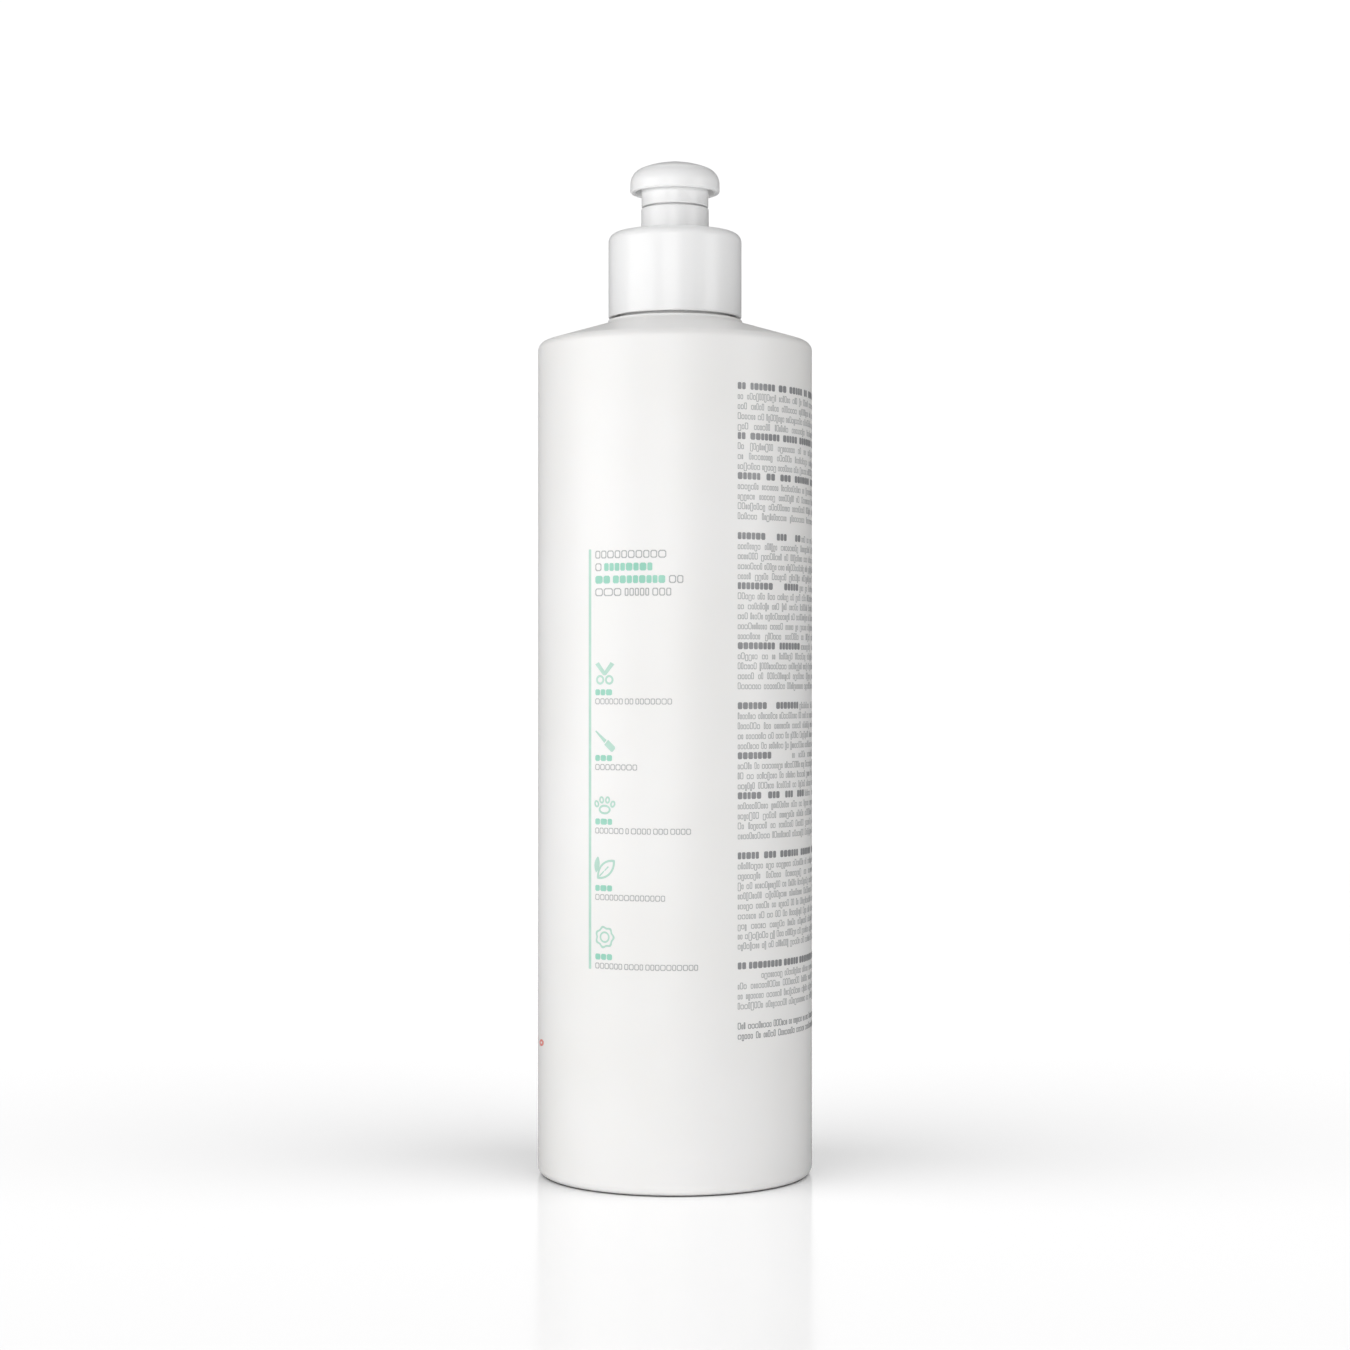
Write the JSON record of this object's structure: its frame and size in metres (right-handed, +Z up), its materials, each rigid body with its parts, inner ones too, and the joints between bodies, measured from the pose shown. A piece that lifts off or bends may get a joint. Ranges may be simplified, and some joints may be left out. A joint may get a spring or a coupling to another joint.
{
  "type": "shampoo bottle",
  "caption": "Tall cylindrical squeeze bottle for pet shampoo, with a screw closure on a threaded neck and a push-pull spout that slides on its plug.",
  "frame": {"origin": "centre of the standing ring, on the bottle's axis, at the surface that the bottle stands on", "axes": "+Z up along the bottle's axis; -Y towards the side panel of the print, which faces the camera; +X to the right of a viewer who looks along +Y"},
  "size_m": [0.062, 0.062, 0.2285],
  "materials": {
    "bottle_hdpe": "satin blow-moulded polyethylene, opaque warm white",
    "liner_foam": "matte white foamed polyethylene",
    "closure_pp": "glossy injection-moulded polypropylene, neutral white"
  },
  "bodies": {
    "bottle": {"bottle": "bottle_hdpe"},
    "liner": {"sealing_liner": "liner_foam"},
    "closure": {"closure_base": "closure_pp"},
    "spout": {"pull_spout": "closure_pp"}
  },
  "joints": [
    {"name": "cap_lift", "type": "slide", "parent": "bottle", "child": "liner", "axis": [0, 0, 1], "range_m": [0, 0.0212]},
    {"name": "cap_turn", "type": "hinge", "parent": "liner", "child": "closure", "pos_m": [0, 0, 0.2018], "axis": [0, 0, 1], "range_deg": [0, 1800]},
    {"name": "spout_pull", "type": "slide", "parent": "closure", "child": "spout", "axis": [0, 0, 1], "range_m": [0, 0.005]}
  ],
  "couplings": [
    {"joint": "cap_lift", "follows": "cap_turn", "m_per_rad": 0.00067376}
  ]
}
